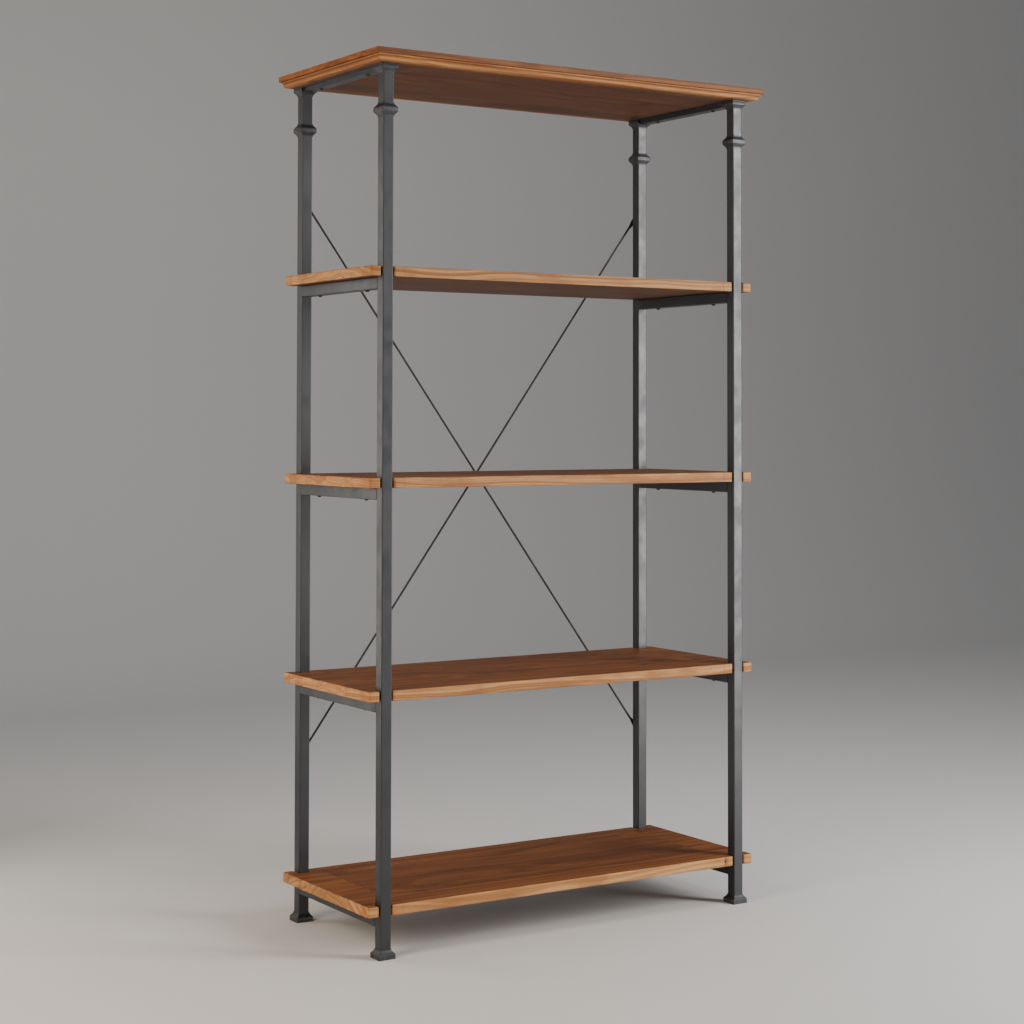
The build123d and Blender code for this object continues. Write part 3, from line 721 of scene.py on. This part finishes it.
def end_board(name, low, high, notch, sign, seed, material, stands_for, seams, first_plank):
    """A notched board: its outline in plan is drawn in by a quarter round at the top and bottom
    rims. A rim row at angle a is the outline moved inwards by r(1 - cos a) and set r(1 - sin a)
    from the face. The slot for the tongue is the inner side's own border, pulled in to the slot's
    rectangle and pushed back by its depth."""
    (x0, y0, z0), (x1, y1, z1) = low, high
    notch_low, notch_high, notch_depth = notch
    horn, notch_root, tight = 5.0 * mm, 1.2 * mm, 0.4 * mm    # radii in plan
    left_radius, right_radius = (tight, horn) if sign > 0 else (horn, tight)
    front_root, back_root = y0 + notch_depth, y1 - notch_depth
    outline = [
        (x0, y0, left_radius),
        (notch_low, y0, horn), (notch_low, front_root, notch_root),
        (notch_high, front_root, notch_root), (notch_high, y0, horn),
        (x1, y0, right_radius),
        (x1, y1, right_radius),
        (notch_high, y1, horn), (notch_high, back_root, notch_root),
        (notch_low, back_root, notch_root), (notch_low, y1, horn),
        (x0, y1, left_radius),
    ]
    plan = trace(outline, 4 * mm)
    run = np.roll(plan, -1, 0) - np.roll(plan, 1, 0)
    inward = np.stack([-run[:, 1], run[:, 0]], 1) / np.linalg.norm(run, axis=1, keepdims=True)
    joint_x = x0 if sign > 0 else x1
    at_joint = np.abs(plan[:, 0] - joint_x) < 0.2 * mm
    steps = np.linalg.norm(np.diff(plan, axis=0), axis=1)
    travelled = np.concatenate([[0], np.cumsum(steps)])
    total = travelled[-1]
    # a rim is six rows of quarter round and one on the flat; three more rows lie between the rims
    round_rows, rim_rows, side_rows = 6, 7, 3
    rows, rubs_and_painted_light = [], []
    for k, face_z, way in ((0, z0, 1), (1, z1, -1)):
        outboard = np.clip((np.abs(plan[:, 0]) - abs(joint_x)) / (x1 - x0), 0, 1)
        worn = shelf_round * (1 + 0.7 * outboard + 0.2 * wander(seed + k, travelled, 0.3))
        worn = worn + knocks(seed + 20 + k, travelled - total / 2, total, 12, 0.7 * mm)
        worn = np.where(at_joint, joint_ease, np.clip(worn, 0.8 * mm, arris_most))[:, None]
        made = []
        for angle in np.linspace(0, math.pi / 2, round_rows):
            drawn_in = plan + inward * worn * (1 - math.cos(angle))
            level = face_z + way * worn * (1 - math.sin(angle))
            made.append(np.hstack([drawn_in, level]))
        flat = plan + inward * (worn + np.where(at_joint, 0.3 * mm, 0.8 * mm)[:, None])
        made.append(np.hstack([flat, np.full((len(plan), 1), face_z)]))
        # the rim rows fade from the full paler rim tone, which is partly wear, partly painted light
        fade = [*np.linspace(1.0, 0.62, round_rows), 0.30]
        if k == 0:
            made, fade = made[::-1], fade[::-1]
        rows += made
        rubs_and_painted_light += fade
    side_from, side_to = rows[rim_rows - 1], rows[rim_rows]
    hollow = inward * (0.10 * mm * (1 + wander(seed + 9, travelled, 0.25)))[:, None]
    between_rows = []
    for share in (0.25, 0.5, 0.75):
        row = side_from + (side_to - side_from) * share
        row[:, :2] += hollow * math.sin(math.pi * share)
        between_rows.append(row)
    rings = np.array(rows[:rim_rows] + between_rows + rows[rim_rows:])
    rubs_and_painted_light = np.array([*rubs_and_painted_light[:rim_rows], *[1.0] * side_rows, *rubs_and_painted_light[rim_rows:]])
    edge = np.repeat(rubs_and_painted_light[:, None], len(plan), 1)
    edge = np.where(at_joint[None, :], 0.0, edge)
    height_count, around = rings.shape[:2]
    faces = grid_faces(height_count, around)
    # the side against the panel is opened between its two rims, for the slot
    row_of, column_of = np.divmod(faces[:, 0], around)
    after = (column_of + 1) % around
    lowest, highest = rim_rows - 1, rim_rows + side_rows
    in_side = at_joint[column_of] & at_joint[after] & (row_of >= lowest) & (row_of < highest)
    faces = faces[~in_side]
    joint_columns = np.flatnonzero(at_joint)
    order = joint_columns[np.argsort(plan[joint_columns, 1])]
    bottom, top_row = order + lowest * around, order + highest * around
    upright = np.arange(lowest + 1, highest) * around
    left, right = order[0] + upright[::-1], order[-1] + upright
    border = np.concatenate([bottom, right, top_row[::-1], left])
    points = rings.reshape(-1, 3)
    middle_z = (z0 + z1) / 2
    mouth = points[border].copy()
    mouth[:, 0] = joint_x
    from_edge, slot_half = tongue_setback - slot_play, tongue_half + slot_play
    mouth[:, 1] = np.clip(mouth[:, 1], y0 + from_edge, y1 - from_edge)
    mouth[:, 2] = np.clip(mouth[:, 2], middle_z - slot_half, middle_z + slot_half)
    floor_of_slot = mouth.copy()
    floor_of_slot[:, 0] += sign * (tongue_length + slot_play)
    first = len(points)
    points = np.vstack([points, mouth, floor_of_slot])
    size = len(border)
    ring_a, ring_b, ring_c = border, first + np.arange(size), first + size + np.arange(size)
    extra = [
        np.stack([one, np.roll(one, -1), np.roll(two, -1), two], 1)
        for one, two in ((ring_a, ring_b), (ring_b, ring_c))
    ]
    faces = np.vstack([faces, *extra])
    edge = np.concatenate([edge.ravel(), np.zeros(2 * size)])
    at = points[faces].mean(1)
    plank = np.searchsorted(seams, at[:, 1]) + first_plank
    return make_piece(name, points, faces, material, stands_for, edge, plank)


last_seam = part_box("shelf_1_panel")[1].y - last_strip
edge_knots = [(0.428, -0.195, 0.100), (-0.455, -0.195, 0.984)]
shelf_stain = stained_wood("shelf_stain", "X", rim_tones, seam_at=last_seam)
end_stain = stained_wood(
    "shelf_end_stain", "X", rim_tones, seam_at=last_seam, knots=edge_knots
)
plank_shares = {
    1: (0.23, 0.47, 0.70), 2: (0.27, 0.52, 0.76), 3: (0.22, 0.49, 0.72), 4: (0.30, 0.55, 0.78)
}
post_low, post_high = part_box("front_right_post")
for number, shares in plank_shares.items():
    low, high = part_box(f"shelf_{number}_panel")
    panel_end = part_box(f"shelf_{number}_right_end")[0].x
    seams = [low.y + (high.y - low.y) * share for share in shares] + [last_seam]
    plank_board(
        f"shelf_{number}_planks", (-panel_end, low.y, low.z), (panel_end, high.y, high.z), seams,
        (shelf_round,) * 4, 100 * number, shelf_stain, (f"shelf_{number}_panel",),
        first_plank=10 * number, tongue=True,
    )
    notch_depth = post_high.y + notch_play - low.y
    for side, sign in (("left", -1), ("right", 1)):
        node = f"shelf_{number}_{side}_end"
        low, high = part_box(node)
        notch = sorted(sign * x for x in (post_low.x - notch_play, post_high.x + notch_play))
        end_board(
            f"shelf_{number}_{side}_endboard", low, high, (*notch, notch_depth), sign,
            100 * number + 50 + sign, end_stain, (node,), seams, 10 * number,
        )


# ---- Top board -------------------------------------------------------------------------------
# A slab of glued planks with a plain worn edge.  Under its rim runs a mitred moulding, a bead over
# a stepped quarter round, and inside that frame a panel of planks fills the underside.

slab_round = 1.2 * mm
slab_tones = ((0.100, 0.029, 0.007), (0.260, 0.095, 0.026))
mould_tones = ((0.230, 0.080, 0.019), (0.520, 0.240, 0.078))
hidden_round = 0.3 * mm
mould_reach = 34 * mm            # how far a strip goes in under the slab
bead_inset, bead_wide, bead_tall = 5.0 * mm, 1.0 * mm, 1.5 * mm
step_inset, step_drop = 7.7 * mm, 4.6 * mm
round_inset, round_drop, round_radius = 8.0 * mm, 5.1 * mm, 5.5 * mm
# the groove between bead and round keeps the dark face colour, as painted shade
groove_least, groove_most, groove_above = 5.5 * mm, 8.1 * mm, 7 * mm


def moulding_strip(name, start, finish, inward, profile, seed, material, stands_for, plank):
    """One strip of the frame: its profile (inset, height) is carried from start to finish, and each
    end is cut at 45 degrees, so a point inset by d starts d after the corner and stops d before
    the next."""
    start, finish, inward = (np.array(v, float) for v in (start, finish, inward))
    length = np.linalg.norm(finish - start)
    along = (finish - start) / length
    inset, height = np.array(profile).T[:, None, :]
    share = np.linspace(0, 1, max(8, int(length / station_gap)))[:, None]
    place = inset + share * (length - 2 * inset)
    free = np.clip((inset.max() - inset) / (8 * mm), 0, 1)
    bumps = knocks(seed + 1, place - length / 2, length, 9, 0.35 * mm)
    wear = (0.06 * mm * (1 + wander(seed, place, 0.3)) + bumps) * free
    rings = start + along * place[..., None] + inward * (inset + wear)[..., None]
    rings[..., 2] += np.broadcast_to(height, rings.shape[:2])
    # rim colour (partly painted light) on free parts, and painted shade in the groove
    painted_groove_shade = (inset > groove_least) & (inset < groove_most) & (height > groove_above)
    edge = np.broadcast_to(np.where(painted_groove_shade, 0.15, 0.95) * free, rings.shape[:2])
    faces = grid_faces(*rings.shape[:2])
    planks = np.full(len(faces), plank)
    return make_piece(name, rings, faces, material, stands_for, edge, planks)


top_stain = stained_wood("top_stain", "X", slab_tones)
underside_stain = stained_wood("underside_stain", "X", rim_tones, saw=0.7)
# the moulding strips' undersides get a weaker painted shade
mould_stain_x = stained_wood("mould_stain_long", "X", mould_tones, under=0.8)
mould_stain_y = stained_wood("mould_stain_short", "Y", mould_tones, under=0.8)

slab_low, slab_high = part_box("top_slab")
slab_wide = slab_high.y - slab_low.y
plank_board(
    "top_slab_planks", slab_low, slab_high,
    [slab_low.y + slab_wide * share for share in (0.16, 0.38, 0.61, 0.83)],
    (slab_round, slab_round, hidden_round, hidden_round), 700, top_stain,
    ("top_slab",), first_plank=60,
)
low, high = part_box("top_underpanel")
plank_board(
    "top_underside_planks", low, high,
    [low.y + (high.y - low.y) * share for share in (0.24, 0.5, 0.77)],
    (hidden_round,) * 4, 800, underside_stain,
    ("top_underpanel",), first_plank=70,
)
base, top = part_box("top_front_moulding")[0].z, slab_low.z
rise = top - base
bead = [
    (bead_inset - bead_wide * math.sin(a), rise - bead_tall + bead_tall * math.cos(a))
    for a in np.linspace(0, math.pi, 7)
]
lower_round = [
    (round_inset + round_radius * (1 - math.cos(a)), round_radius * (1 - math.sin(a)))
    for a in np.linspace(0, math.pi / 2, 8)
]
strip_profile = [
    (mould_reach, rise), *bead, (step_inset, rise - step_drop),
    (round_inset, rise - round_drop), *lower_round, (mould_reach, 0.0),
]
plan_corners = [
    (slab_low.x, slab_low.y, base), (slab_high.x, slab_low.y, base),
    (slab_high.x, slab_high.y, base), (slab_low.x, slab_high.y, base),
]
ways = [(0, 1, 0), (-1, 0, 0), (0, -1, 0), (1, 0, 0)]
for index, name in enumerate(("front", "right", "back", "left")):
    moulding_strip(
        f"top_{name}_mould", plan_corners[index], plan_corners[(index + 1) % 4], ways[index],
        strip_profile, 900 + index, mould_stain_y if index % 2 else mould_stain_x,
        (f"top_{name}_moulding",), 80 + index,
    )


# ---- Brace rods, screws and inserts ----------------------------------------------------------
# Two black steel rods with flattened ends cross behind the shelves.  Black screws hold them in
# rivet nuts, and longer ones hold the shelves and top board through the rungs and rails.

rod_steel = stained_finish(
    "rod_steel", (0.018, 0.018, 0.021), (0.040, 0.038, 0.040), 55.0, 900.0, 0.02 * mm, (0.38, 0.52)
)
black_steel = stained_finish(
    "black_steel", (0.022, 0.021, 0.022), (0.055, 0.050, 0.048), 140.0, 1800.0, 0.015 * mm,
    (0.30, 0.46), Metallic=0.6,
)
brass = stained_finish(
    "insert_brass", (0.62, 0.42, 0.17), (0.40, 0.25, 0.10), 130.0, 1600.0, 0.02 * mm,
    (0.25, 0.42), Metallic=1.0,
)
finishes = {
    rod_steel: ("falling_brace_rod", "rising_brace_rod"),
    black_steel: ("brace_screws", "shelf_screws", "top_screws", "brace_spacers"),
    zinc: ("brace_rivet_nuts",),
    brass: ("threaded_inserts",),
}
for finish, names in finishes.items():
    for node_name in names:
        coat(node_name, finish)


# ---- Floor, lights and camera ----------------------------------------------------------------
# A pale studio floor that curves up into the backdrop.  A tall soft light from the front right, a
# warm one from the left, a faint one behind the left end and one overhead.  The camera stands to
# the left of the bookcase's front, a little above waist height.

floor_tone = (0.78, 0.77, 0.76)


def sweep(name, width, front, back, rise_radius, height):
    """A studio sweep: flat floor, a quarter circle up, and an upright back, carried along X."""
    turn = np.linspace(0, math.pi / 2, 16)
    y = np.concatenate([[front], back + rise_radius * np.sin(turn), [back + rise_radius]])
    z = np.concatenate([[0.0], rise_radius * (1 - np.cos(turn)), [height]])
    x = np.array([-width / 2, width / 2])
    level = np.broadcast_to(z[:, None], (len(y), 2))
    points = np.dstack([*np.meshgrid(x, y), level]).reshape(-1, 3)
    first = np.arange(len(y) - 1)[:, None] * 2
    faces = first + np.array([[0, 1, 3, 2]])
    mesh = bpy.data.meshes.new(name)
    mesh.from_pydata(points.tolist(), [], faces.tolist())
    mesh.shade_smooth()
    mesh.materials.append(
        stained_finish("studio_paper", floor_tone, floor_tone, 2.0, 300.0, 0.05 * mm, (0.75, 0.85))
    )
    piece = bpy.data.objects.new(name, mesh)
    bpy.context.scene.collection.objects.link(piece)


sweep("studio_floor", 24.0, -9.0, 3.5, 2.5, 9.0)


def soft_light(name, place, aim, size, watts, colour):
    """A rectangular softbox at place that faces aim."""
    data = bpy.data.lights.new(name, "AREA")
    data.shape = "RECTANGLE"
    data.size, data.size_y = size
    data.energy, data.color = watts, colour
    light = bpy.data.objects.new(name, data)
    bpy.context.scene.collection.objects.link(light)
    light.location = place
    light.visible_camera = False
    way = np.array(aim, float) - np.array(place, float)
    tilt = math.acos(-way[2] / np.linalg.norm(way))
    light.rotation_euler = (tilt, 0, math.atan2(way[1], way[0]) - math.pi / 2)


near_white, amber, warm_white = (1.0, 0.985, 0.97), (1.0, 0.80, 0.55), (1.0, 0.95, 0.90)
soft_light("key_light", (2.2, -2.35, 1.45), (0.3, 0.0, 0.95), (0.9, 2.7), 118.0, near_white)
soft_light("left_light", (-2.6, -0.7, 1.3), (-0.4, 0.0, 1.0), (1.0, 2.0), 46.0, amber)
soft_light("back_left_light", (-1.35, 1.0, 1.1), (-0.5, -0.2, 1.1), (0.55, 1.7), 8.5, warm_white)
soft_light("top_light", (0.6, -0.3, 4.2), (0.1, 0.1, 1.0), (2.4, 2.4), 34.0, (1.0, 1.0, 1.0))

world = bpy.data.worlds.new("studio_air")
world.use_nodes = True
air = world.node_tree.nodes["Background"].inputs
air["Color"].default_value = (0.82, 0.84, 0.88, 1.0)
air["Strength"].default_value = 0.19
bpy.context.scene.world = world

camera_data = bpy.data.cameras.new("camera")
camera_data.lens, camera_data.sensor_width = 71.978, 36.0
camera_data.shift_y = -0.15103
camera_data.clip_start, camera_data.clip_end = 0.1, 60.0
camera = bpy.data.objects.new("camera", camera_data)
bpy.context.scene.collection.objects.link(camera)
camera.location = (-2.54556, -3.95581, 1.12134)
camera.rotation_euler = (math.pi / 2 + 0.03038, -0.0017, -0.56557)
bpy.context.scene.camera = camera
